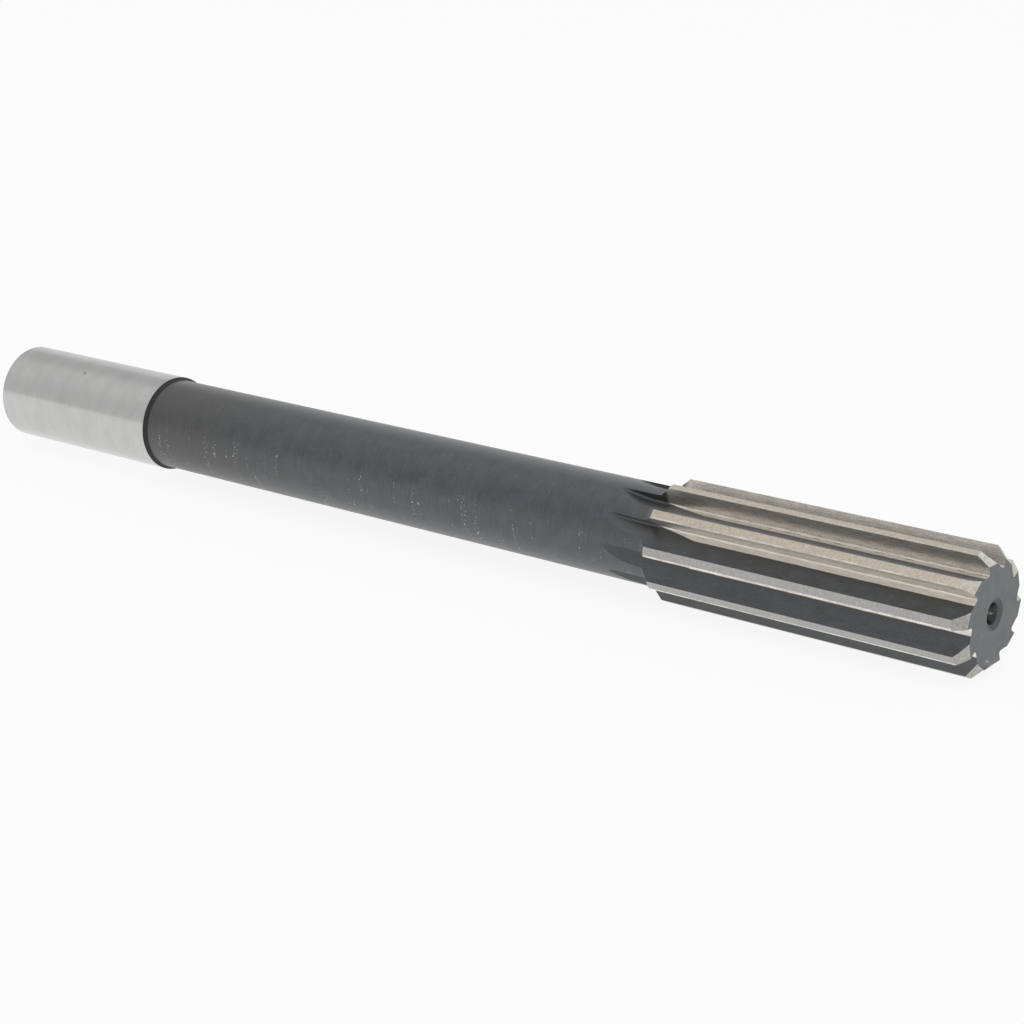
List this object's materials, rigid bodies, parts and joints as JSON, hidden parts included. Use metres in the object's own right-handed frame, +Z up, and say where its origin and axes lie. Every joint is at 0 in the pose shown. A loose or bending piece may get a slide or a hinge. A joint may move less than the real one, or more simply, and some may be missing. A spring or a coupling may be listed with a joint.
{
  "type": "machine reamer",
  "caption": "Straight-shank machine reamer with straight right-hand flutes, narrow relieved lands, a chamfered cutting end and a long slim neck.",
  "frame": {"origin": "middle of the reamer's length, under its axis, at the height of the surface it lies on", "axes": "+X along the axis towards the cutting end, +Z up from the surface it lies on"},
  "size_m": [0.2666, 0.0254, 0.0245],
  "materials": {
    "tool_steel": "black oxide with ground bright shank, lands and cutting faces"
  },
  "bodies": {
    "root": {"reamer": "tool_steel"}
  },
  "joints": []
}
